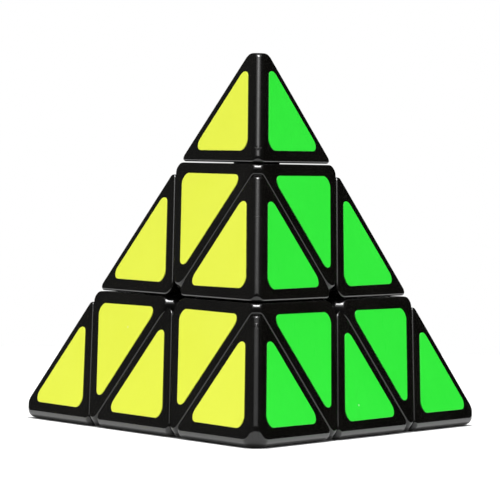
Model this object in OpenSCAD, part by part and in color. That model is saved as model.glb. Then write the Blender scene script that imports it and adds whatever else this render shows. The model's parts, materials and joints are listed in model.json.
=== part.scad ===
// Pyramid twisty puzzle: a tetrahedron cut into 4 tips, 4 axial pieces and 6 edge pieces round a
// four-armed core. The origin is the middle of the core, and the top tip points along +Z.
//
// Each corner of the pyramid has a turning axis. A layer is everything past layer_cut on one axis,
// and a tip is everything past tip_cut. Close to the core the layers meet at foot_cut instead, so
// the edge pieces' feet are wider than their necks and stay under the axial pieces' flanges.

/* [Pyramid] */
// Length of each edge of the pyramid, measured to the sharp corners
edge_len = 102; // [96:0.5:110]
// Gap between neighbouring pieces
gap = 0.3; // [0.25:0.05:0.5]
// Thickness of the moulded walls
wall = 2; // [1.6:0.1:2.4]
// How far the long outer edges are rounded back
edge_round = 1.4; // [0.8:0.1:1.8]
// How far the four points of the pyramid are rounded back
apex_round = 4.8; // [3:0.1:5.5]
// How far the corners of the tips and edge pieces are rounded back
corner_round = 2.2; // [1:0.1:2.6]
// How far the corners of the axial pieces are rounded back
axial_round = 1.8; // [1:0.1:2.2]

/* [Stickers] */
// Thickness of a sticker
sticker_t = 0.15; // [0.1:0.01:0.3]
// Bare rim round an axial piece's sticker
axial_rim = 2.6; // [2:0.1:3]
// Bare rim between any other sticker and a cut
sticker_rim = 2.75; // [2:0.05:3]
// Bare rim between a sticker and a long outer edge
sticker_edge_rim = 3.75; // [3:0.05:4]
// Radius of a sticker's corners
sticker_corner_r = 1.7; // [0.5:0.1:2.5]

/* [Mechanism] */
// Radius of the ball in the middle of the core
ball_r = 9.5; // [9:0.1:9.6]
// Inner radius of the edge pieces' feet
foot_r = 9.9; // [9.8:0.1:10.4]
// Outer radius of the edge pieces' feet
foot_top_r = 13.6; // [13.2:0.1:13.7]
// Inner radius of the axial pieces' flanges
flange_r = 14; // [13.9:0.1:14.2]
// Outer radius of the axial pieces' flanges
flange_top_r = 16.4; // [16:0.1:16.5]
// Radius inside which the axial shells are cut away
shell_r = 17; // [16.8:0.1:17.2]
// Distance along an axis past which the feet lie in its layer
foot_cut = 5; // [4.8:0.1:5.4]
// Clearance between the feet and what turns past them
foot_clear = 0.15; // [0.1:0.05:0.3]
// Radius of the recesses in an edge piece's hidden sides
recess_r = 5; // [3:0.5:5]
// Depth of those recesses
recess_depth = 3; // [1:0.5:3]

/* [Axes] */
// Radius of the core's arms
arm_r = 4.5; // [4:0.1:5]
// How far the core's arms reach
arm_len = 11.4; // [11:0.1:11.5]
// Outer radius of an axial piece's stem
stem_r = 5.6; // [5.4:0.1:6]
// Radius of the well in the stem that holds the spring
well_r = 4.1; // [4:0.1:4.3]
// Radius of a screw's shank
screw_r = 1.5; // [1.3:0.1:1.6]
// Radius of a screw's head
head_r = 3.1; // [2.8:0.1:3.3]
// Radius of the spring, to the middle of its wire
coil_r = 2.6; // [2.4:0.1:2.8]
// Thickness of the spring's wire
wire_d = 0.7; // [0.5:0.1:0.8]
// Working turns in a spring
coil_turns = 4; // [3:1:5]

/* [Hidden] */
$fn = 96;
pyramid_h = edge_len * sqrt(2 / 3);
face_dist = pyramid_h / 4;
layer_cut = pyramid_h / 12;
tip_cut = pyramid_h * 5 / 12;
edge_dist = edge_len / sqrt(8);
cell = edge_len / 3;
cell_inradius = cell / sqrt(12);
cell_circumradius = cell * sqrt(3 / 8);
cell_height = pyramid_h / 3;
big = 2 * edge_len;
half_gap = gap / 2;

// Unit vectors from the middle to the corners
TOP = 0;
FRONT = 1;
RIGHT = 2;
LEFT = 3;
CORNERS = [
    [0, 0, 1],
    [0, -sqrt(8) / 3, -1 / 3],
    [sqrt(2 / 3), sqrt(2) / 3, -1 / 3],
    [-sqrt(2 / 3), sqrt(2) / 3, -1 / 3]
];

// Fits
running_fit = 0.05;
stem_clear = 0.15;
stem_sink = 0.4;
foot_overlap = 0.4;
over = 1;

// Heights along an axis, from the core outwards
screw_tip = 2.5;
drill_tip = 2;
stem_foot = arm_len + stem_clear;
stem_floor = 15;
washer_t = 0.4;
spring_foot = stem_floor + running_fit + washer_t;
spring_room = 6.6;
spring_top = spring_foot + spring_room;
head_foot = spring_top + washer_t;
head_t = 2.2;
post_foot = 26.6;
groove_h = 28;
groove_t = 1.2;
bead_t = 0.8;
bead_h = groove_h + (groove_t - bead_t) / 2;
stem_top = tip_cut - half_gap - stem_sink;
collar_h = 2.5;
post_root = 4;

// Other sizes of the hidden parts
slot_w = 0.8;
slot_depth = 1.2;
slot_len = 1.3 * head_r;
washer_rim = 0.6;
groove_depth = 0.4;
bead_depth = 0.6;
post_r = 3.7;
collar_r = 4.8;
rib_t = 1.2;
rib_lift = 3;

// Rounding of the long outer edges
round_r = 3;
shaving_start = 2;
shaving = 20;

// Spring: its facets, its closed end turns, and how much each of them rises
spring_sides = 8;
spring_steps = 12;
dead_turns = 0.75;
dead_rise = 0.6 * wire_d;
turns = coil_turns + 2 * dead_turns;
spring_rise = spring_room - wire_d - 2 * running_fit;
live_rise = spring_rise - 2 * dead_rise;

outline_steps = 8;

// The faces, each named by the corner opposite to it
YELLOW = RIGHT;
GREEN = LEFT;
RED = FRONT;
BLUE = TOP;

black = "#141416";
yellow = "#edf64e";
green = "#30ef3a";
red = "#e0202c";
blue = "#2348d8";

function unit(v) = v / norm(v);
function across(v, n) = unit(v - (v * n) * n);
function others(k) = [for (i = [0:3]) if (i != k) i];

// Places children so that their Z points along n and their X as near to u as it can
module facing(n, u) {
    x = across(u, n);
    y = cross(n, x);
    multmatrix([
        [x[0], y[0], n[0], 0],
        [x[1], y[1], n[1], 0],
        [x[2], y[2], n[2], 0],
        [0, 0, 0, 1]
    ]) children();
}

// Places children on the axis of corner k, with X towards another corner
module on_axis(k)
    facing(CORNERS[k], CORNERS[others(k)[0]]) children();

// Everything past distance d on the axis of corner k
module past(k, d)
    on_axis(k) translate([-big / 2, -big / 2, d]) cube(big);

// Everything short of distance d on the axis of corner k
module short_of(k, d)
    on_axis(k) translate([-big / 2, -big / 2, d - big]) cube(big);

// The layer between two spheres
module ball_shell(inner, outer)
    difference() {
        sphere(outer);
        sphere(inner);
    }

// What is taken off the long outer edge between corners j and k to round it
module edge_shaving(j, k) {
    middle = edge_dist - edge_round - round_r;
    facing(unit(CORNERS[j] - CORNERS[k]), unit(CORNERS[j] + CORNERS[k]))
        linear_extrude(big, center = true)
            difference() {
                translate([middle + shaving_start, -shaving / 2]) square(shaving);
                translate([middle, 0]) circle(round_r);
            }
}

// The inside of the pyramid at corner k, past distance base, with its faces moved in by inset
module tip_cell(k, inset, base)
    intersection() {
        past(k, base);
        past(others(k)[0], inset - face_dist);
        past(others(k)[1], inset - face_dist);
        past(others(k)[2], inset - face_dist);
    }

// The cell of the axial piece at corner k, an octahedron, with its walls moved in by inset
module axial_cell(k, inset)
    intersection() {
        past(k, layer_cut + half_gap + inset);
        short_of(k, tip_cut - half_gap - inset);
        face_to_cut(others(k)[0], inset);
        face_to_cut(others(k)[1], inset);
        face_to_cut(others(k)[2], inset);
    }

// Between the face opposite corner k and the cut of its layer
module face_to_cut(k, inset)
    on_axis(k) translate([-big / 2, -big / 2, inset - face_dist])
        cube([big, big, face_dist + layer_cut - half_gap - 2 * inset]);

// The cell of the edge piece between corners j and k, a tetrahedron
module edge_cell(j, k) {
    rest = [for (i = others(j)) if (i != k) i];
    intersection() {
        past(j, layer_cut + half_gap);
        past(k, layer_cut + half_gap);
        past(rest[0], -face_dist);
        past(rest[1], -face_dist);
    }
}

// Core: a ball with four arms, drilled for the axis screws
module core() color("dimgray")
    difference() {
        union() {
            sphere(ball_r);
            for (k = [0:3]) on_axis(k) cylinder(h = arm_len, r = arm_r);
        }
        for (k = [0:3]) on_axis(k)
            translate([0, 0, drill_tip]) cylinder(h = arm_len, r = screw_r + running_fit);
    }

// Axis screws: one pan-head cross-slot screw on each arm
module axis_screws() color("silver")
    for (k = [0:3]) on_axis(k)
        difference() {
            union() {
                translate([0, 0, screw_tip]) cylinder(h = head_foot + over - screw_tip, r = screw_r);
                translate([0, 0, head_foot]) cylinder(h = head_t, r = head_r);
            }
            for (a = [0, 90]) rotate([0, 0, a])
                translate([-slot_len / 2, -slot_w / 2, head_foot + head_t - slot_depth])
                    cube([slot_len, slot_w, slot_depth + over]);
        }

// How far a spring has risen after t turns
function risen(t) =
    t < dead_turns ? dead_rise * t / dead_turns
    : t > turns - dead_turns ? spring_rise - dead_rise * (turns - t) / dead_turns
    : dead_rise + live_rise * (t - dead_turns) / coil_turns;

// One coil spring: a round wire swept along a helix whose end turns lie close together
module spring() {
    rings = ceil(turns * spring_steps);
    foot = spring_foot + wire_d / 2 + running_fit;
    points = [
        for (i = [0:rings]) for (j = [0:spring_sides - 1])
            let (t = turns * i / rings, a = 360 * t, b = 360 * j / spring_sides)
            let (r = coil_r + wire_d / 2 * cos(b))
            [r * cos(a), r * sin(a), foot + risen(t) + wire_d / 2 * sin(b)]
    ];
    sides = [
        for (i = [0:rings - 1]) for (j = [0:spring_sides - 1])
            let (n = (j + 1) % spring_sides, p = i * spring_sides, q = p + spring_sides)
            [p + j, q + j, q + n, p + n]
    ];
    ends = [
        [for (j = [0:spring_sides - 1]) j],
        [for (j = [0:spring_sides - 1]) rings * spring_sides + spring_sides - 1 - j]
    ];
    polyhedron(points, concat(sides, ends), convexity = 8);
}

// Axis springs: they press each axial piece down on its arm
module axis_springs() color("lightsteelblue")
    for (k = [0:3]) on_axis(k) spring();

// Spring washers: one under and one over each spring
module spring_washers() color("gainsboro")
    for (k = [0:3], z = [spring_foot - washer_t, spring_top]) on_axis(k)
        translate([0, 0, z]) difference() {
            cylinder(h = washer_t, r = coil_r + washer_rim);
            translate([0, 0, -over]) cylinder(h = washer_t + 2 * over, r = screw_r + running_fit);
        }

// Tip: a hollow cap whose post clips into the axial piece below it, with a collar that rests on it
module tip_cap(k) color(black) {
    base = tip_cut + half_gap;
    difference() {
        intersection() {
            tip_cell(k, 0, base);
            on_axis(k) translate([0, 0, 2 * face_dist]) sphere(cell_circumradius - corner_round);
            sphere(3 * face_dist - apex_round);
        }
        for (j = others(k)) edge_shaving(j, k);
        difference() {
            tip_cell(k, wall, base - over);
            on_axis(k) cylinder(h = big, r = post_r);
            for (j = others(k)) tip_rib(k, j);
        }
    }
    on_axis(k) {
        translate([0, 0, post_foot]) cylinder(h = base + post_root - post_foot, r = post_r);
        translate([0, 0, bead_h]) cylinder(h = bead_t, r = post_r + bead_depth);
        translate([0, 0, stem_top + running_fit]) cylinder(h = collar_h, r = collar_r);
    }
}

// A rib from a tip's post to the corner that points to corner j
module tip_rib(k, j)
    facing(CORNERS[k], CORNERS[j])
        translate([0, -rib_t / 2, tip_cut + rib_lift]) cube([cell, rib_t, cell]);

// Axial shell: the visible octahedral moulding, hollow round its hub
module axial_shell(k) color(black)
    difference() {
        intersection() {
            axial_cell(k, 0);
            on_axis(k) translate([0, 0, face_dist]) sphere(cell / sqrt(2) - axial_round);
        }
        sphere(shell_r);
        difference() {
            axial_cell(k, wall);
            on_axis(k) cylinder(h = big, r = stem_r + wall);
        }
        on_axis(k) cylinder(h = big, r = stem_r + running_fit);
    }

// Axial stem: the stalk that turns on an arm, with the flange that holds the edge pieces in
module axial_stem(k) color("#2a2a2e")
    difference() {
        union() {
            on_axis(k) translate([0, 0, stem_foot]) cylinder(h = stem_top - stem_foot, r = stem_r);
            intersection() {
                ball_shell(flange_r, flange_top_r);
                axial_cell(k, 0);
            }
        }
        on_axis(k) {
            cylinder(h = big, r = screw_r + running_fit);
            translate([0, 0, stem_floor]) cylinder(h = big, r = well_r);
            translate([0, 0, groove_h]) cylinder(h = groove_t, r = well_r + groove_depth);
        }
    }

// Edge piece: a two-sided block whose neck ends in a wide foot that hooks under two flanges
module edge_piece(j, k) color(black) {
    out = unit(CORNERS[j] + CORNERS[k]);
    middle = out * (edge_dist - cell / sqrt(8));
    difference() {
        intersection() {
            edge_cell(j, k);
            translate(middle) facing(out, CORNERS[j]) sphere(cell_circumradius - corner_round);
        }
        edge_shaving(j, k);
        facing(out, CORNERS[j]) sphere(foot_top_r - foot_overlap);
        for (i = [j, k]) translate(middle) facing(-CORNERS[i], CORNERS[others(i)[0]])
            translate([0, 0, cell_height / 4 - half_gap - recess_depth]) cylinder(h = big, r = recess_r);
    }
    intersection() {
        facing(out, CORNERS[j]) ball_shell(foot_r, foot_top_r);
        past(j, foot_cut + foot_clear);
        past(k, foot_cut + foot_clear);
    }
}

// Outline of a sticker: a triangle with round corners that points along +X. Its base side is at
// distance base from the cell's middle, and its two other sides at distance side.
module sticker_outline(base, side) {
    r = sticker_corner_r;
    inradius = (base + 2 * side) / 3;
    middle = (side - base) * 2 / 3;
    polygon([
        for (c = [0:2]) for (s = [0:outline_steps])
            let (way = 120 * c, turn = way - 60 + 120 * s / outline_steps)
            [
                middle + 2 * (inradius - r) * cos(way) + r * cos(turn),
                2 * (inradius - r) * sin(way) + r * sin(turn)
            ]
    ]);
}

// A sticker on the face opposite corner f, in the cell at distance out along v, pointing along v
// when way is 1 and against it when way is -1
module sticker(f, v, out, way, base, side) {
    n = -CORNERS[f];
    translate(n * face_dist + across(v, n) * out)
        facing(n, way * v)
            linear_extrude(sticker_t) sticker_outline(base, side);
}

module tip_sticker(f, k)
    sticker(f, CORNERS[k], 4 * cell_inradius, 1, cell_inradius - sticker_rim,
        cell_inradius - sticker_edge_rim);

module axial_sticker(f, k)
    sticker(f, CORNERS[k], 2 * cell_inradius, -1, cell_inradius - axial_rim,
        cell_inradius - axial_rim);

module edge_sticker(f, j, k)
    sticker(f, CORNERS[j] + CORNERS[k], 2 * cell_inradius, -1, cell_inradius - sticker_edge_rim,
        cell_inradius - sticker_rim);

core();
axis_screws();
axis_springs();
spring_washers();

tip_cap(TOP);  // tip_cap_top
tip_cap(FRONT);  // tip_cap_front
tip_cap(RIGHT);  // tip_cap_right
tip_cap(LEFT);  // tip_cap_left

axial_shell(TOP);  // axial_shell_top
axial_shell(FRONT);  // axial_shell_front
axial_shell(RIGHT);  // axial_shell_right
axial_shell(LEFT);  // axial_shell_left

axial_stem(TOP);  // axial_stem_top
axial_stem(FRONT);  // axial_stem_front
axial_stem(RIGHT);  // axial_stem_right
axial_stem(LEFT);  // axial_stem_left

edge_piece(TOP, FRONT);  // edge_piece_top_front
edge_piece(TOP, RIGHT);  // edge_piece_top_right
edge_piece(TOP, LEFT);  // edge_piece_top_left
edge_piece(FRONT, RIGHT);  // edge_piece_front_right
edge_piece(RIGHT, LEFT);  // edge_piece_right_left
edge_piece(FRONT, LEFT);  // edge_piece_front_left

color(yellow) tip_sticker(YELLOW, TOP);  // yellow_tip_top
color(yellow) tip_sticker(YELLOW, FRONT);  // yellow_tip_front
color(yellow) tip_sticker(YELLOW, LEFT);  // yellow_tip_left
color(yellow) axial_sticker(YELLOW, TOP);  // yellow_axial_top
color(yellow) axial_sticker(YELLOW, FRONT);  // yellow_axial_front
color(yellow) axial_sticker(YELLOW, LEFT);  // yellow_axial_left
color(yellow) edge_sticker(YELLOW, TOP, FRONT);  // yellow_edge_top_front
color(yellow) edge_sticker(YELLOW, FRONT, LEFT);  // yellow_edge_front_left
color(yellow) edge_sticker(YELLOW, TOP, LEFT);  // yellow_edge_top_left

color(green) tip_sticker(GREEN, TOP);  // green_tip_top
color(green) tip_sticker(GREEN, FRONT);  // green_tip_front
color(green) tip_sticker(GREEN, RIGHT);  // green_tip_right
color(green) axial_sticker(GREEN, TOP);  // green_axial_top
color(green) axial_sticker(GREEN, FRONT);  // green_axial_front
color(green) axial_sticker(GREEN, RIGHT);  // green_axial_right
color(green) edge_sticker(GREEN, TOP, FRONT);  // green_edge_top_front
color(green) edge_sticker(GREEN, FRONT, RIGHT);  // green_edge_front_right
color(green) edge_sticker(GREEN, TOP, RIGHT);  // green_edge_top_right

color(red) tip_sticker(RED, TOP);  // red_tip_top
color(red) tip_sticker(RED, RIGHT);  // red_tip_right
color(red) tip_sticker(RED, LEFT);  // red_tip_left
color(red) axial_sticker(RED, TOP);  // red_axial_top
color(red) axial_sticker(RED, RIGHT);  // red_axial_right
color(red) axial_sticker(RED, LEFT);  // red_axial_left
color(red) edge_sticker(RED, TOP, RIGHT);  // red_edge_top_right
color(red) edge_sticker(RED, RIGHT, LEFT);  // red_edge_right_left
color(red) edge_sticker(RED, TOP, LEFT);  // red_edge_top_left

color(blue) tip_sticker(BLUE, FRONT);  // blue_tip_front
color(blue) tip_sticker(BLUE, RIGHT);  // blue_tip_right
color(blue) tip_sticker(BLUE, LEFT);  // blue_tip_left
color(blue) axial_sticker(BLUE, FRONT);  // blue_axial_front
color(blue) axial_sticker(BLUE, RIGHT);  // blue_axial_right
color(blue) axial_sticker(BLUE, LEFT);  // blue_axial_left
color(blue) edge_sticker(BLUE, FRONT, RIGHT);  // blue_edge_front_right
color(blue) edge_sticker(BLUE, RIGHT, LEFT);  // blue_edge_right_left
color(blue) edge_sticker(BLUE, FRONT, LEFT);  // blue_edge_front_left
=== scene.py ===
"""Looks of the pyramid twisty puzzle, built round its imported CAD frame.

Lengths in the shape code are in millimetres, in the part's own frame, and every mesh is scaled to
metres when it becomes an object. The three kinds of black moulding are each shaped once, at the
top of the pyramid, and turned onto the other places.
"""

import itertools
import json
import math
import random

import bmesh
import bpy
import numpy as np
from mathutils import Matrix, Vector


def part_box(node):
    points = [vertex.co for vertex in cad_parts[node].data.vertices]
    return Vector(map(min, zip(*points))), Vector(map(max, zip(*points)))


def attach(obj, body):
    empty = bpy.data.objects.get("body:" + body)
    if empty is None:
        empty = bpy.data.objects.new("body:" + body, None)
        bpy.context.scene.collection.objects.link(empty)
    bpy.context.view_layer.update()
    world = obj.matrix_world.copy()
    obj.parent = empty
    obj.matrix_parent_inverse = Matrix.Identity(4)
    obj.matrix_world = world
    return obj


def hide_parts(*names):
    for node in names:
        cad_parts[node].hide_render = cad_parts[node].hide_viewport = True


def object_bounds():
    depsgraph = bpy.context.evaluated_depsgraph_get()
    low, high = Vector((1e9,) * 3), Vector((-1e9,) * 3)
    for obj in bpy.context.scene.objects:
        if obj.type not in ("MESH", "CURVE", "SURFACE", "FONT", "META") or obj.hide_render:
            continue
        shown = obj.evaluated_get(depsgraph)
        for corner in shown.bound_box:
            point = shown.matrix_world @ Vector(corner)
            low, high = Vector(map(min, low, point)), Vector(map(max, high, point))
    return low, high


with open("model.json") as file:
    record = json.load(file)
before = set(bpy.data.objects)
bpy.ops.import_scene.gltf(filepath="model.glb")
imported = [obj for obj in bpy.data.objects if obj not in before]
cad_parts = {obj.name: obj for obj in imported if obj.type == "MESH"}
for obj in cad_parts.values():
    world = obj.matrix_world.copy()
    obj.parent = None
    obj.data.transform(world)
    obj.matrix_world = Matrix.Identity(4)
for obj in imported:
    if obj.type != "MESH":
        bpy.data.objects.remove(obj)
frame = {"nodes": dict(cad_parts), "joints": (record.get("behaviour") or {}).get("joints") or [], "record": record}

CAD_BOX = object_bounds()
MM = 0.001

# ---------------------------------------------------------------- the frame's own dimensions

CORNERS = ("top", "front", "right", "left")
LAYER = "layer_"
AXIS = {
    joint["name"].removeprefix(LAYER): Vector(joint["axis"]).normalized()
    for joint in frame["joints"] if joint["name"].startswith(LAYER)
}
FACES = {"yellow": "right", "green": "left", "red": "front", "blue": "top"}     # and the corner opposite
FACE_DIST = -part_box("tip_cap_left")[0].z / MM
HEIGHT = 4 * FACE_DIST
EDGE_LEN = HEIGHT / math.sqrt(2 / 3)
CELL = EDGE_LEN / 3
CELL_INRADIUS = CELL / math.sqrt(12)
LAYER_CUT = HEIGHT / 12
TIP_CUT = HEIGHT * 5 / 12
EDGE_DIST = EDGE_LEN / math.sqrt(8)
EDGE_CELL_DIST = EDGE_DIST - CELL / math.sqrt(8)
STICKER_T = (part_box("tip_cap_left")[0].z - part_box("blue_tip_left")[0].z) / MM

# ---------------------------------------------------------------- the mouldings' dimensions

HALF_GAP = 0.12         # half the gap between two mouldings
WALL = 2.0
SHELL_R = 17.0          # the axial shells are cut away inside this
FOOT_R = 9.9            # an edge piece's foot lies between these
FOOT_TOP_R = 13.6
FOOT_CUT = 5.15         # and beyond this on each of its two axes
FOOT_OVERLAP = 0.4      # how far it reaches into the block
STEM_R = 5.65           # the bore for the stem in an axial shell
POST_R = 3.7            # a tip's post
POST_FOOT = 26.6
POST_ROOT = 4.0         # how far the post goes up into the cap
BEAD_R = 4.3            # its snap bead
BEAD_LOW, BEAD_HIGH = 28.2, 29.0
COLLAR_R = 4.8          # its collar
COLLAR_SINK = 0.35      # how far the collar reaches into the axial piece's hub
COLLAR_H = 2.5
CAP_FLOOR = 1.0         # how far a cap's pocket reaches past its base, so that it is open
CAP_OVER = 3.0          # the room it leaves for the post, down past its base and up inside
CAP_INSIDE = 20.0
RIB_T = 1.2             # a cap's ribs
RIB_LOW, RIB_HIGH = 3.0, 24.0
RECESS_R = 5.0          # the recesses in an edge piece's two cuts
RECESS_DEPTH = 3.0

OUTER_R = 1.5           # rounding of the long outer edges
RIM_R = 0.5             # rounding between a face and a cut
EDGE_CUT_R = 2.2        # rounding between an edge piece's two cuts
AXIAL_CUT_R = 3.0       # rounding between an axial piece's inner cuts
CROWN_R = 1.7           # rounding between those and the cut under its tip
TRIM_R = 0.35           # rounding where a corner is trimmed flat
DOME_R = 0.7            # rounding where the pyramid's own corners are trimmed round
APEX_TRIM = 4.8         # how far each kind of corner is trimmed
TIP_TRIM = 2.5
EDGE_TRIM = 2.7
AXIAL_TRIM = 0.8

AXIAL_RIM = 2.6         # black rim round the stickers of the axial pieces
STICKER_RIM = 2.75      # and of the other pieces
STICKER_EDGE_RIM = 3.75     # and along the pyramid's long edges, on edge pieces
STICKER_CORNER_R = 1.7
STICKER_BEVEL = 0.05
BEVEL_SOFT = 0.3        # where the bevel's middle ring is, as a share of it
SLIP = 0.15             # how far off its place a sticker may be, along and across
SLIP_TURN = 0.4         # and off its angle, in degrees
SEED = 7

# ---------------------------------------------------------------- how finely things are meshed

STRIPS = (0.1, 0.22, 0.36, 0.5, 0.72, 1.0, 1.35, 1.75, 2.2, 2.7, 3.3, 4.2)  # lines beside each edge
HALVINGS = 48           # steps in finding the rounded surface along a ray
SAME_POINT = 1e-5
ON_PLANE = 1e-6
SLOPE_STEP = 1e-3       # step for a surface's slope
TINY = 1e-12
NEEDLE = 0.004          # shorter edges are closed up
ON_SHAPE = 0.01         # a vertex this near to the rounded surface is on it
WORN_DEPTH = 0.15       # a rim counts as fully worn where it is rounded off this deep
CYLINDER_SIDES = 64
BALL_STEPS = 4
CORNER_STEPS = 8        # steps round a sticker's corner
FLOOR_SIDES = 96


def others(*names):
    return [c for c in CORNERS if c not in names]


# ---------------------------------------------------------------- solids from planes


def plane_corners(planes):
    """The corners of the convex solid where n.x <= d for every (n, d)."""
    found = []
    for trio in itertools.combinations(range(len(planes)), 3):
        a = np.array([planes[i][0] for i in trio])
        if abs(np.linalg.det(a)) < ON_PLANE:
            continue
        p = np.linalg.solve(a, [planes[i][1] for i in trio])
        if all(np.dot(n, p) <= d + ON_PLANE for n, d in planes):
            if not any(np.linalg.norm(p - q) < SAME_POINT for q in found):
                found.append(p)
    return found


def plane_solid(planes):
    """A bmesh of the convex solid where n.x <= d for every (n, d)."""
    bm = bmesh.new()
    points = plane_corners(planes)
    verts = [bm.verts.new(p) for p in points]
    for n, d in planes:
        on = [i for i, p in enumerate(points) if abs(np.dot(n, p) - d) < SAME_POINT]
        middle = np.mean([points[i] for i in on], axis=0)
        u = points[on[0]] - middle
        w = np.cross(n, u)
        on.sort(key=lambda i: math.atan2(np.dot(points[i] - middle, w), np.dot(points[i] - middle, u)))
        bm.faces.new([verts[i] for i in on])
    return bm


def mesh_of(bm, name="solid"):
    mesh = bpy.data.meshes.new(name)
    bm.to_mesh(mesh)
    bm.free()
    return mesh


def solid_of(planes):
    """The mesh of plane_solid, for planes whose normals are vectors."""
    return mesh_of(plane_solid([(np.array(n), d) for n, d in planes]))


def cylinder(axis, low, high, radius):
    """A cylinder mesh on an axis through the middle, from height low to high."""
    bm = bmesh.new()
    bmesh.ops.create_cone(bm, cap_ends=True, segments=CYLINDER_SIDES,
                          radius1=radius, radius2=radius, depth=high - low)
    bmesh.ops.translate(bm, vec=(0, 0, (low + high) / 2), verts=bm.verts)
    bm.transform(axis.to_track_quat("Z", "Y").to_matrix().to_4x4())
    return mesh_of(bm)


def ball(radius):
    bm = bmesh.new()
    bmesh.ops.create_icosphere(bm, subdivisions=BALL_STEPS, radius=radius)
    return mesh_of(bm)


def rib(axis, towards, low, high, length):
    """A thin wall that stands on the axis and runs out towards another corner."""
    x = (towards - axis * towards.dot(axis)).normalized()
    y = axis.cross(x)
    bm = bmesh.new()
    bmesh.ops.create_cube(bm, size=1)
    bm.transform(Matrix.Translation((0.5, 0, 0)))
    bm.transform(Matrix.Diagonal((length, RIB_T, high - low, 1)))
    bm.transform(Matrix.Translation((0, 0, (low + high) / 2)))
    bm.transform(Matrix((x, y, axis)).transposed().to_4x4())
    return mesh_of(bm)


def combine(mesh, tool, how):
    """mesh with tool joined to it (UNION) or cut from it (DIFFERENCE), or both's INTERSECT."""
    a = bpy.data.objects.new("a", mesh)
    b = bpy.data.objects.new("b", tool)
    for o in (a, b):
        bpy.context.scene.collection.objects.link(o)
    m = a.modifiers.new("cut", "BOOLEAN")
    m.operation = how
    m.solver = "EXACT"
    m.object = b
    made = bpy.data.meshes.new_from_object(a.evaluated_get(bpy.context.evaluated_depsgraph_get()))
    bpy.data.objects.remove(a)
    bpy.data.objects.remove(b)
    return made


# ---------------------------------------------------------------- rounded mouldings

LEAN = 1 / 3            # cosine between any two of the pyramid's planes, one of them turned round


def smooth_max(values, k):
    """The largest of some distances, with a rounding of about k where two are near zero."""
    total = sum(np.maximum(v + k, 0) ** 2 for v in values)
    inside = np.maximum.reduce(values)
    return np.where(total > 0, np.sqrt(total) - k, inside)


def rounded(values, cosines, radius):
    """Distance from a solid between planes, with its edges and corners rounded.

    values holds each plane's distance, and cosines the matrix of the angles between the planes.
    """
    squared = np.zeros_like(values[0])
    for size in (1, 2, 3):
        for group in itertools.combinations(range(len(values)), size):
            between = cosines[np.ix_(group, group)]
            if abs(np.linalg.det(between)) < ON_PLANE:
                continue
            d = np.stack([values[i] + radius for i in group])
            pull = np.linalg.solve(between, d)
            nearest = np.all(pull > 0, axis=0)
            squared = np.maximum(squared, np.where(nearest, np.sum(d * pull, axis=0), 0))
    return np.where(squared > 0, np.sqrt(squared) - radius, np.max(values, axis=0))


def planes_distance(p, planes, radius):
    normals = np.array([n for n, d in planes])
    return rounded([p @ n - d for n, d in planes], normals @ normals.T, radius)


def lean_matrix(cosine):
    """The matrix of the angles between two planes."""
    return np.array([[1, cosine], [cosine, 1]])


class Moulding:
    """A cell of the pyramid with its edges rounded, as a smooth distance function and a mesh.

    faces are the planes on the pyramid's outside and cuts those between pieces. lean is the cosine
    between a face's normal and a neighbouring cut's. trims are flats that take off corners, dome the
    radius of a ball round the pyramid's middle that takes off its own corners, and crown the cut
    under a tip.
    """

    def __init__(self, faces, cuts, cut_radius, lean, middle, trims, dome=None, crown=None):
        self.faces = [(np.array(n), d) for n, d in faces]
        self.cuts = [(np.array(n), d) for n, d in cuts]
        self.cut_radius = cut_radius
        self.lean = lean_matrix(lean)
        self.middle = np.array(middle)
        self.trims = trims
        self.dome = dome
        self.crown = crown

    def planes(self):
        return self.faces + self.cuts + ([self.crown] if self.crown else [])

    def distance(self, p):
        face = planes_distance(p, self.faces, OUTER_R)
        cut = planes_distance(p, self.cuts, self.cut_radius)
        if self.crown:
            cut = rounded([cut, p @ self.crown[0] - self.crown[1]], lean_matrix(-LEAN), CROWN_R)
        value = rounded([face, cut], self.lean, RIM_R)
        for n, d in self.trims:
            value = smooth_max([value, p @ n - d], TRIM_R)
        if self.dome:
            value = smooth_max([value, np.linalg.norm(p, axis=1) - self.dome], DOME_R)
        return value

    def normals(self, p):
        steps = SLOPE_STEP * np.eye(3)
        slope = np.stack([self.distance(p + h) - self.distance(p - h) for h in steps], axis=1)
        return slope / np.maximum(np.linalg.norm(slope, axis=1, keepdims=True), TINY)

    def mesh(self):
        """The polyhedron, cut into strips beside its edges and drawn in onto the rounded shape."""
        planes = self.planes()
        bm = plane_solid(planes)
        for (n, d), depth in itertools.product(planes, STRIPS):
            geom = bm.verts[:] + bm.edges[:] + bm.faces[:]
            bmesh.ops.bisect_plane(bm, geom=geom, dist=ON_PLANE, plane_co=n * (d - depth), plane_no=n)
        p = np.array([v.co for v in bm.verts])
        ray = p - self.middle
        low, high = np.zeros(len(p)), np.ones(len(p))
        for _ in range(HALVINGS):
            half = (low + high) / 2
            out = self.distance(self.middle + ray * half[:, None]) > 0
            high = np.where(out, half, high)
            low = np.where(out, low, half)
        p = self.middle + ray * low[:, None]
        for v, co in zip(bm.verts, p):
            v.co = co
        bmesh.ops.dissolve_degenerate(bm, dist=NEEDLE, edges=bm.edges)
        return mesh_of(bm)


def face_planes(*names):
    return [(-AXIS[c], FACE_DIST) for c in names]


def node_trim(middle, j, k, depth):
    """A flat that takes off a piece's corner on the edge from corner j to corner k, at a third of it."""
    corner = AXIS[j] * (2 * FACE_DIST) + AXIS[k] * FACE_DIST
    way = (corner - middle).normalized()
    return np.array(way), corner.dot(way) - depth


def tip_moulding(k):
    cuts = [(-AXIS[k], -(TIP_CUT + HALF_GAP))]
    middle = AXIS[k] * (2 * FACE_DIST)
    trims = [node_trim(middle, k, c, TIP_TRIM) for c in others(k)]
    dome = 3 * FACE_DIST - APEX_TRIM
    return Moulding(face_planes(*others(k)), cuts, 0, -LEAN, middle, trims, dome=dome)


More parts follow.
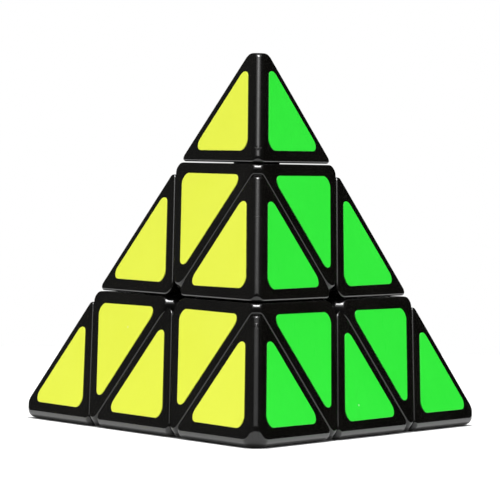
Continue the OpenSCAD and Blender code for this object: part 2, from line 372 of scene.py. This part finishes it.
def axial_moulding(k):
    cuts = [(AXIS[c], LAYER_CUT - HALF_GAP) for c in others(k)]
    cuts.append((-AXIS[k], -(LAYER_CUT + HALF_GAP)))
    crown = (np.array(AXIS[k]), TIP_CUT - HALF_GAP)
    middle = AXIS[k] * FACE_DIST
    trims = [node_trim(middle, k, c, AXIAL_TRIM) for c in others(k)]
    return Moulding(face_planes(*others(k)), cuts, AXIAL_CUT_R, LEAN, middle, trims, crown=crown)


def edge_moulding(j, k):
    cuts = [(-AXIS[c], -(LAYER_CUT + HALF_GAP)) for c in (j, k)]
    middle = (AXIS[j] + AXIS[k]).normalized() * EDGE_CELL_DIST
    trims = [node_trim(middle, j, k, EDGE_TRIM), node_trim(middle, k, j, EDGE_TRIM)]
    return Moulding(face_planes(*others(j, k)), cuts, EDGE_CUT_R, -LEAN, middle, trims)


def tip_mesh(k):
    """A hollow cap with a post, a collar, a snap bead and three ribs."""
    axis, base = AXIS[k], TIP_CUT + HALF_GAP
    inside = [(-AXIS[c], FACE_DIST - WALL) for c in others(k)] + [(-axis, CAP_FLOOR - base)]
    pocket = solid_of(inside)
    pocket = combine(pocket, cylinder(axis, base - CAP_OVER, base + CAP_INSIDE, POST_R), "DIFFERENCE")
    for c in others(k):
        pocket = combine(pocket, rib(axis, AXIS[c], base + RIB_LOW, base + RIB_HIGH, CELL), "DIFFERENCE")
    made = combine(tip_moulding(k).mesh(), pocket, "DIFFERENCE")
    made = combine(made, cylinder(axis, POST_FOOT, base + POST_ROOT, POST_R), "UNION")
    sunk = TIP_CUT - HALF_GAP - COLLAR_SINK
    made = combine(made, cylinder(axis, sunk, sunk + COLLAR_H, COLLAR_R), "UNION")
    return combine(made, cylinder(axis, BEAD_LOW, BEAD_HIGH, BEAD_R), "UNION")


def axial_mesh(k):
    """A hollow octahedral shell with a hub round its stem."""
    axis = AXIS[k]
    inside = [(-AXIS[c], FACE_DIST - WALL) for c in others(k)]
    inside += [(AXIS[c], LAYER_CUT - HALF_GAP - WALL) for c in others(k)]
    inside += [(-axis, -(LAYER_CUT + HALF_GAP + WALL)), (axis, TIP_CUT - HALF_GAP - WALL)]
    pocket = solid_of(inside)
    pocket = combine(pocket, cylinder(axis, 0, EDGE_LEN, STEM_R + WALL), "DIFFERENCE")
    made = combine(axial_moulding(k).mesh(), ball(SHELL_R), "DIFFERENCE")
    made = combine(made, pocket, "DIFFERENCE")
    return combine(made, cylinder(axis, 0, EDGE_LEN, STEM_R), "DIFFERENCE")


def edge_mesh(j, k):
    """A rounded two-sided block with a wide foot at its inner end and two recesses."""
    out = (AXIS[j] + AXIS[k]).normalized()
    across = AXIS[j].cross(AXIS[k]).normalized()
    sides = [(-AXIS[j], -FOOT_CUT), (-AXIS[k], -FOOT_CUT), (across, CELL), (-across, CELL), (out, CELL)]
    foot = combine(solid_of(sides), ball(FOOT_TOP_R), "INTERSECT")
    foot = combine(foot, ball(FOOT_R), "DIFFERENCE")
    made = combine(edge_moulding(j, k).mesh(), ball(FOOT_TOP_R - FOOT_OVERLAP), "DIFFERENCE")
    made = combine(made, foot, "UNION")
    middle = out * EDGE_CELL_DIST
    for c in (j, k):
        hole = cylinder(-AXIS[c], HEIGHT / 12 - HALF_GAP - RECESS_DEPTH, CELL, RECESS_R)
        hole.transform(Matrix.Translation(middle))
        made = combine(made, hole, "DIFFERENCE")
    return made


def finish_normals(mesh, moulding):
    """Smooth normals where the mesh lies on the rounded shape, flat ones inside; and a rim mask."""
    p = np.zeros(len(mesh.vertices) * 3)
    mesh.vertices.foreach_get("co", p)
    p = p.reshape(-1, 3)
    on_shape = np.abs(moulding.distance(p)) < ON_SHAPE
    smooth = moulding.normals(p)
    nearest = np.max([p @ n - d for n, d in moulding.planes()], axis=0)
    rim = np.clip(-nearest / WORN_DEPTH, 0, 1) * on_shape
    mesh.attributes.new("rim", "FLOAT", "POINT").data.foreach_set("value", rim.astype(np.float32))
    mesh.shade_smooth()
    split = np.zeros((len(mesh.loops), 3))
    for f in mesh.polygons:
        curved = all(on_shape[v] for v in f.vertices)
        for loop, v in zip(f.loop_indices, f.vertices):
            split[loop] = smooth[v] if curved else f.normal
    mesh.normals_split_custom_set(split.tolist())


# ---------------------------------------------------------------- materials

PLASTIC_DARK = (0.003, 0.0028, 0.0024, 1)
PLASTIC_LIGHT = (0.0048, 0.0045, 0.0038, 1)
PLASTIC_WORN = 0.009
PLASTIC_DUST = 0.25
PLASTIC_GLOSS = (0.08, 0.12)    # roughness, from and to
VINYL_DUST = (0.9, 0.95, 0.85, 1)
VINYL_GLOSS = (0.3, 0.38)
GREASE_DRY, GREASE_WET = 0.42, 0.2      # roughness of the inner plastic
STEEL_SPREAD = 0.12             # how much rougher steel is across its turning marks
PLASTIC_IOR, INNER_IOR, VINYL_IOR = 1.53, 1.5, 1.46
STICKERS = {                    # each colour, and a deeper one that it drifts to
    "yellow": ((0.84, 0.92, 0.075, 1), (0.8, 0.88, 0.045, 1)),
    "green": ((0.028, 0.86, 0.042, 1), (0.018, 0.8, 0.03, 1)),
    "red": ((0.75, 0.014, 0.02, 1), (0.66, 0.008, 0.014, 1)),
    "blue": ((0.012, 0.07, 0.7, 1), (0.008, 0.05, 0.62, 1)),
}
INNER_TONE, CORE_TONE = 0.03, 0.055
SCREW_TONE, SCREW_ROUGH = 0.62, 0.25
SPRING_TONE, SPRING_ROUGH = 0.5, 0.3


class Nodes:
    """Short helpers for building one procedural material."""

    def __init__(self, name):
        self.material = bpy.data.materials.new(name)
        self.material.use_nodes = True
        self.tree = self.material.node_tree
        self.shader = self.tree.nodes["Principled BSDF"]
        self.place = self.add("ShaderNodeTexCoord").outputs["Object"]

    def add(self, kind, **inputs):
        node = self.tree.nodes.new(kind)
        for name, value in inputs.items():
            self.put(node.inputs[name.replace("_", " ")], value)
        return node

    def put(self, socket, value):
        if isinstance(value, bpy.types.NodeSocket):
            self.tree.links.new(value, socket)
        else:
            socket.default_value = value

    def noise(self, scale, detail=3, roughness=0.5, vector=None):
        node = self.add("ShaderNodeTexNoise", Scale=scale, Detail=detail, Roughness=roughness)
        self.put(node.inputs["Vector"], vector or self.place)
        return node.outputs["Fac"]

    def band(self, value, low, high, to_low=0.0, to_high=1.0):
        """value mapped from low..high to to_low..to_high, and held there."""
        node = self.add("ShaderNodeMapRange", Value=value)
        for name, v in zip(("From Min", "From Max", "To Min", "To Max"), (low, high, to_low, to_high)):
            node.inputs[name].default_value = v
        return node.outputs["Result"]

    def math(self, how, a, b=0.0):
        node = self.add("ShaderNodeMath")
        node.operation = how
        self.put(node.inputs[0], a)
        self.put(node.inputs[1], b)
        return node.outputs[0]

    def mix(self, amount, a, b):
        node = self.add("ShaderNodeMix")
        node.data_type = "RGBA"
        self.put(node.inputs["Factor"], amount)
        self.put(node.inputs["A"], a)
        self.put(node.inputs["B"], b)
        return node.outputs["Result"]

    def scratches(self, stretch, turn, scale):
        """Thin straight marks along one direction."""
        mapping = self.add("ShaderNodeMapping", Vector=self.place)
        mapping.inputs["Rotation"].default_value = turn
        mapping.inputs["Scale"].default_value = stretch
        fine = self.noise(scale, detail=2, vector=mapping.outputs[0])
        return self.band(fine, 0.68, 0.74)

    def specks(self, scale, size, share):
        """Small round spots, in about a share of the cells."""
        cells = self.add("ShaderNodeTexVoronoi", Scale=scale, Vector=self.place)
        spot = self.band(cells.outputs["Distance"], size, size * 0.5)
        split = self.add("ShaderNodeSeparateColor", Color=cells.outputs["Color"])
        return self.math("MULTIPLY", spot, self.band(split.outputs[0], 1 - share, 1 - share + 0.01))

    def bump(self, height, distance, strength):
        node = self.add("ShaderNodeBump", Height=height, Distance=distance, Strength=strength)
        self.put(self.shader.inputs["Normal"], node.outputs[0])


def grey(v):
    return (v, v, v, 1)


def black_plastic():
    m = Nodes("black_plastic")
    worn = m.add("ShaderNodeAttribute")
    worn.attribute_name = "rim"
    along = m.scratches((1, 14, 1), (0.3, 0.2, 0.5), 160)
    across = m.scratches((12, 1, 1), (0.1, 0.6, 0.2), 190)
    marks = m.math("MAXIMUM", along, across)
    patches = m.band(m.noise(70, 4), 0.4, 0.65)
    dust = m.specks(420, 0.09, 0.05)
    tone = m.mix(patches, PLASTIC_DARK, PLASTIC_LIGHT)
    tone = m.mix(m.math("MULTIPLY", worn.outputs["Fac"], 0.4), tone, grey(PLASTIC_WORN))
    tone = m.mix(m.math("MULTIPLY", dust, 0.2), tone, grey(PLASTIC_DUST))
    m.put(m.shader.inputs["Base Color"], tone)
    rough = m.band(m.noise(900, 2), 0.3, 0.7, *PLASTIC_GLOSS)
    rough = m.math("ADD", rough, m.math("MULTIPLY", patches, 0.05))
    rough = m.math("ADD", rough, m.math("MULTIPLY", marks, 0.1))
    rough = m.math("ADD", rough, m.math("MULTIPLY", worn.outputs["Fac"], 0.04))
    m.put(m.shader.inputs["Roughness"], rough)
    m.shader.inputs["IOR"].default_value = PLASTIC_IOR
    height = m.math("SUBTRACT", m.noise(650, 3), m.math("MULTIPLY", marks, 0.25))
    m.bump(height, 0.00003, 0.12)
    return m.material


def sticker_vinyl(name, colour, deep):
    m = Nodes("sticker_" + name)
    drift = m.band(m.noise(45, 3), 0.35, 0.65)
    grain = m.band(m.noise(1500, 2), 0.35, 0.65)
    tone = m.mix(m.math("MULTIPLY", drift, 0.35), colour, deep)
    tone = m.mix(m.math("MULTIPLY", grain, 0.12), tone, deep)
    dust = m.specks(230, 0.07, 0.12)
    tone = m.mix(m.math("MULTIPLY", dust, 0.4), tone, VINYL_DUST)
    along = m.scratches((1, 16, 1), (0.7, 0.2, 0.4), 150)
    across = m.scratches((14, 1, 1), (0.2, 0.9, 0.1), 170)
    marks = m.math("MAXIMUM", along, across)
    m.put(m.shader.inputs["Base Color"], tone)
    rough = m.band(m.noise(500, 3), 0.3, 0.7, *VINYL_GLOSS)
    m.put(m.shader.inputs["Roughness"], m.math("ADD", rough, m.math("MULTIPLY", marks, 0.15)))
    m.shader.inputs["IOR"].default_value = VINYL_IOR
    height = m.math("SUBTRACT", m.noise(260, 2), m.math("MULTIPLY", marks, 0.15))
    m.bump(height, 0.00003, 0.25)
    return m.material


def inner_plastic(name, tone):
    m = Nodes(name)
    grease = m.band(m.noise(160, 4), 0.45, 0.6)
    m.put(m.shader.inputs["Base Color"], m.mix(grease, grey(tone), grey(tone * 0.6)))
    m.put(m.shader.inputs["Roughness"], m.band(grease, 0, 1, GREASE_DRY, GREASE_WET))
    m.shader.inputs["IOR"].default_value = INNER_IOR
    m.bump(m.noise(1200, 3), 0.00005, 0.3)
    return m.material


def steel(name, tone, rough):
    m = Nodes(name)
    m.shader.inputs["Metallic"].default_value = 1.0
    turned = m.add("ShaderNodeMapping", Vector=m.place)
    turned.inputs["Scale"].default_value = (1, 1, 9)
    lines = m.noise(900, 2, vector=turned.outputs[0])
    m.put(m.shader.inputs["Base Color"], m.mix(m.band(lines, 0.35, 0.65), grey(tone), grey(tone * 0.8)))
    m.put(m.shader.inputs["Roughness"], m.band(lines, 0.3, 0.7, rough, rough + STEEL_SPREAD))
    m.bump(lines, 0.00002, 0.3)
    return m.material


MATERIAL = {
    "black_plastic": black_plastic(),
    "inner_plastic": inner_plastic("inner_plastic", INNER_TONE),
    "core_plastic": inner_plastic("core_plastic", CORE_TONE),
    "screw_steel": steel("screw_steel", SCREW_TONE, SCREW_ROUGH),
    "spring_steel": steel("spring_steel", SPRING_TONE, SPRING_ROUGH),
}
MATERIAL.update({"sticker_" + name: sticker_vinyl(name, *tones) for name, tones in STICKERS.items()})
SLOT = {s["node"]: s["material_slot"] for s in frame["record"]["subparts"]}


# ---------------------------------------------------------------- pieces


def add_piece(mesh, node, body):
    """Adds a mesh in millimetres as the piece that stands for a CAD node."""
    mesh.transform(Matrix.Scale(MM, 4))
    mesh.materials.clear()
    mesh.materials.append(MATERIAL[SLOT[node]])
    piece = bpy.data.objects.new(node + ".look", mesh)
    bpy.context.scene.collection.objects.link(piece)
    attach(piece, body)
    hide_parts(node)
    return piece


def turn_onto(source, target):
    """The rotation that takes two or three of the axes in source to those in target."""
    a = Matrix([AXIS[c] for c in source[:2]] + [AXIS[source[0]].cross(AXIS[source[1]])]).transposed()
    b = Matrix([AXIS[c] for c in target[:2]] + [AXIS[target[0]].cross(AXIS[target[1]])]).transposed()
    return (b @ a.inverted()).to_4x4()


def add_mouldings():
    tip, axial, edge = tip_mesh("top"), axial_mesh("top"), edge_mesh("top", "front")
    finish_normals(tip, tip_moulding("top"))
    finish_normals(axial, axial_moulding("top"))
    finish_normals(edge, edge_moulding("top", "front"))
    for k in CORNERS:
        turn = turn_onto(("top", "front"), (k, others(k)[0]))
        for mesh, node, body in ((tip, "tip_cap_", "tip_"), (axial, "axial_shell_", "axial_")):
            copy = mesh.copy()
            copy.transform(turn)
            add_piece(copy, node + k, body + k)
    for j, k in itertools.combinations(CORNERS, 2):
        copy = edge.copy()
        copy.transform(turn_onto(("top", "front"), (j, k)))
        add_piece(copy, f"edge_piece_{j}_{k}", f"edge_{j}_{k}")


def sticker_outline(base, side, radius):
    """A triangle with round corners that points along +X; see part.scad's module of that name."""
    inradius = (base + 2 * side) / 3
    middle = (side - base) * 2 / 3
    points = []
    for c in range(3):
        way = math.radians(120 * c)
        for s in range(CORNER_STEPS + 1):
            turn = way + math.radians(-60 + 120 * s / CORNER_STEPS)
            reach = 2 * (inradius - radius)
            points.append((middle + reach * math.cos(way) + radius * math.cos(turn),
                           reach * math.sin(way) + radius * math.sin(turn)))
    return points


def sticker_mesh(base, side):
    """A thin rounded triangle with a softened upper edge, at the origin, facing +Z."""
    bm = bmesh.new()
    soft = STICKER_BEVEL * BEVEL_SOFT
    steps = ((0, 0), (0, STICKER_T - STICKER_BEVEL), (soft, STICKER_T - soft), (STICKER_BEVEL, STICKER_T))
    rings = []
    for inset, height in steps:
        outline = sticker_outline(base - inset, side - inset, STICKER_CORNER_R - inset)
        rings.append([bm.verts.new((x, y, height)) for x, y in outline])
    for low, high in zip(rings, rings[1:]):
        for i in range(len(low)):
            n = (i + 1) % len(low)
            bm.faces.new((low[i], low[n], high[n], high[i]))
    bm.faces.new(rings[-1])
    bm.faces.new(rings[0][::-1])
    return mesh_of(bm, "sticker")


def add_sticker(body, colour, towards, out, way, base, side, hand):
    """A sticker on a coloured face, put on by hand, so a little off its place and angle.

    Its middle is at distance out from the face's middle, towards a corner or an edge, and it points
    that way (way 1) or back (way -1).
    """
    n = -AXIS[FACES[colour]]
    v = (towards - n * towards.dot(n)).normalized()
    x = v * way
    y = n.cross(x)
    slip = x * hand.uniform(-SLIP, SLIP) + y * hand.uniform(-SLIP, SLIP)
    place = Matrix((x, y, n)).transposed().to_4x4()
    place.translation = n * FACE_DIST + v * out + slip
    mesh = sticker_mesh(base, side)
    mesh.transform(place @ Matrix.Rotation(math.radians(hand.uniform(-SLIP_TURN, SLIP_TURN)), 4, "Z"))
    add_piece(mesh, f"{colour}_{body}", body)


def add_stickers():
    hand = random.Random(SEED)
    inner = CELL_INRADIUS - AXIAL_RIM
    near = CELL_INRADIUS - STICKER_RIM
    far = CELL_INRADIUS - STICKER_EDGE_RIM
    for colour, opposite in FACES.items():
        corners = others(opposite)
        for k in corners:
            add_sticker(f"tip_{k}", colour, AXIS[k], 4 * CELL_INRADIUS, 1, near, far, hand)
            add_sticker(f"axial_{k}", colour, AXIS[k], 2 * CELL_INRADIUS, -1, inner, inner, hand)
        for j, k in itertools.combinations(corners, 2):
            towards = AXIS[j] + AXIS[k]
            add_sticker(f"edge_{j}_{k}", colour, towards, 2 * CELL_INRADIUS, -1, far, near, hand)


def dress_inner_nodes():
    """The CAD nodes that stay: the core, the screws, the springs, the washers and the stems."""
    for name, node in frame["nodes"].items():
        if not SLOT[name].startswith(("black", "sticker")):
            node.data.materials.clear()
            node.data.materials.append(MATERIAL[SLOT[name]])


# ---------------------------------------------------------------- stage, light and camera

FLOOR_R = 0.34              # metres, as all lengths from here on
FLOOR_DROP = 0.00002        # how far it lies below the object
FLOOR_WHITE = 0.9
SOFTBOXES = (               # name, y, height, size and radiance
    ("key", 0.0, 1.0, (0.26, 0.34), 24),
    ("halo", -0.03, 1.02, (0.44, 0.7), 3.2),
    ("spill", -0.05, 1.04, (1.1, 1.2), 0.7),
)
SEEN_WHITE = 1.0            # the world, as the camera sees it
ROOM_LIGHT = 0.47           # as it lights the object
ROOM_LEFT, ROOM_RIGHT = 0.06, 0.004     # as the object mirrors it
ROOM_TURN = (-0.8, -0.2)    # where along X one becomes the other
CAMERA_AZIMUTH, CAMERA_ELEVATION, CAMERA_ROLL = -0.8, 2.5, 1.06     # degrees
CAMERA_DISTANCE = 0.842
AIM_RIGHT, AIM_UP = -0.00105, 0.01657
LENS, SENSOR = 290.2, 36    # millimetres
CLIP = (0.05, 20)


def add_floor(height):
    bm = bmesh.new()
    bmesh.ops.create_circle(bm, cap_ends=True, segments=FLOOR_SIDES, radius=FLOOR_R)
    floor = bpy.data.objects.new("floor", mesh_of(bm, "floor"))
    floor.location.z = height
    bpy.context.scene.collection.objects.link(floor)
    m = Nodes("floor_white")
    m.shader.inputs["Base Color"].default_value = grey(FLOOR_WHITE)
    m.shader.inputs["Roughness"].default_value = 0.9
    m.shader.inputs["Specular IOR Level"].default_value = 0.0
    floor.data.materials.append(m.material)


def add_softbox(name, y, height, size, radiance):
    """A soft light over the object that faces straight down."""
    light = bpy.data.lights.new(name, "AREA")
    light.shape = "RECTANGLE"
    light.size, light.size_y = size
    light.energy = radiance * math.pi * size[0] * size[1]
    lamp = bpy.data.objects.new(name, light)
    lamp.location = (0, y, height)
    bpy.context.scene.collection.objects.link(lamp)


def add_world():
    """White behind the object for the camera, and a dim room, lighter on the left, for the rest."""
    world = bpy.data.worlds.new("studio")
    bpy.context.scene.world = world
    world.use_nodes = True
    tree = world.node_tree
    tree.nodes.clear()
    path = tree.nodes.new("ShaderNodeLightPath")
    out = tree.nodes.new("ShaderNodeOutputWorld")
    shades = {}
    for name, level in (("seen", SEEN_WHITE), ("light", ROOM_LIGHT), ("mirrored", ROOM_RIGHT)):
        shades[name] = tree.nodes.new("ShaderNodeBackground")
        shades[name].inputs["Color"].default_value = grey(1.0)
        shades[name].inputs["Strength"].default_value = level
    way = tree.nodes.new("ShaderNodeTexCoord")
    split = tree.nodes.new("ShaderNodeSeparateXYZ")
    side = tree.nodes.new("ShaderNodeMapRange")
    for name, v in zip(("From Min", "From Max", "To Min", "To Max"), (*ROOM_TURN, ROOM_LEFT, ROOM_RIGHT)):
        side.inputs[name].default_value = v
    tree.links.new(way.outputs["Generated"], split.inputs[0])
    tree.links.new(split.outputs["X"], side.inputs["Value"])
    tree.links.new(side.outputs["Result"], shades["mirrored"].inputs["Strength"])
    glossy = tree.nodes.new("ShaderNodeMixShader")
    tree.links.new(path.outputs["Is Glossy Ray"], glossy.inputs[0])
    tree.links.new(shades["light"].outputs[0], glossy.inputs[1])
    tree.links.new(shades["mirrored"].outputs[0], glossy.inputs[2])
    camera = tree.nodes.new("ShaderNodeMixShader")
    tree.links.new(path.outputs["Is Camera Ray"], camera.inputs[0])
    tree.links.new(glossy.outputs[0], camera.inputs[1])
    tree.links.new(shades["seen"].outputs[0], camera.inputs[2])
    tree.links.new(camera.outputs[0], out.inputs["Surface"])


def add_camera():
    """A long lens a little above the core, aimed near the middle of the pyramid."""
    azimuth, elevation = math.radians(CAMERA_AZIMUTH), math.radians(CAMERA_ELEVATION)
    roll = math.radians(CAMERA_ROLL)
    level = math.cos(elevation)
    back = Vector((math.sin(azimuth) * level, -math.cos(azimuth) * level, math.sin(elevation)))
    right = Vector((math.cos(azimuth), math.sin(azimuth), 0))
    up = back.cross(right)
    eye = back * CAMERA_DISTANCE
    look = (right * AIM_RIGHT + up * AIM_UP - eye).normalized()
    tilted_up = up * math.cos(roll) - right * math.sin(roll)
    x = look.cross(tilted_up).normalized()
    y = x.cross(look)
    data = bpy.data.cameras.new("camera")
    data.sensor_width = SENSOR
    data.lens = LENS
    data.clip_start, data.clip_end = CLIP
    camera = bpy.data.objects.new("camera", data)
    camera.matrix_world = Matrix.Translation(eye) @ Matrix((x, y, -look)).transposed().to_4x4()
    bpy.context.scene.collection.objects.link(camera)
    bpy.context.scene.camera = camera


add_mouldings()
add_stickers()
dress_inner_nodes()
add_floor(CAD_BOX[0].z - FLOOR_DROP)
add_world()
for softbox in SOFTBOXES:
    add_softbox(*softbox)
add_camera()
bpy.context.scene.view_settings.view_transform = "Standard"
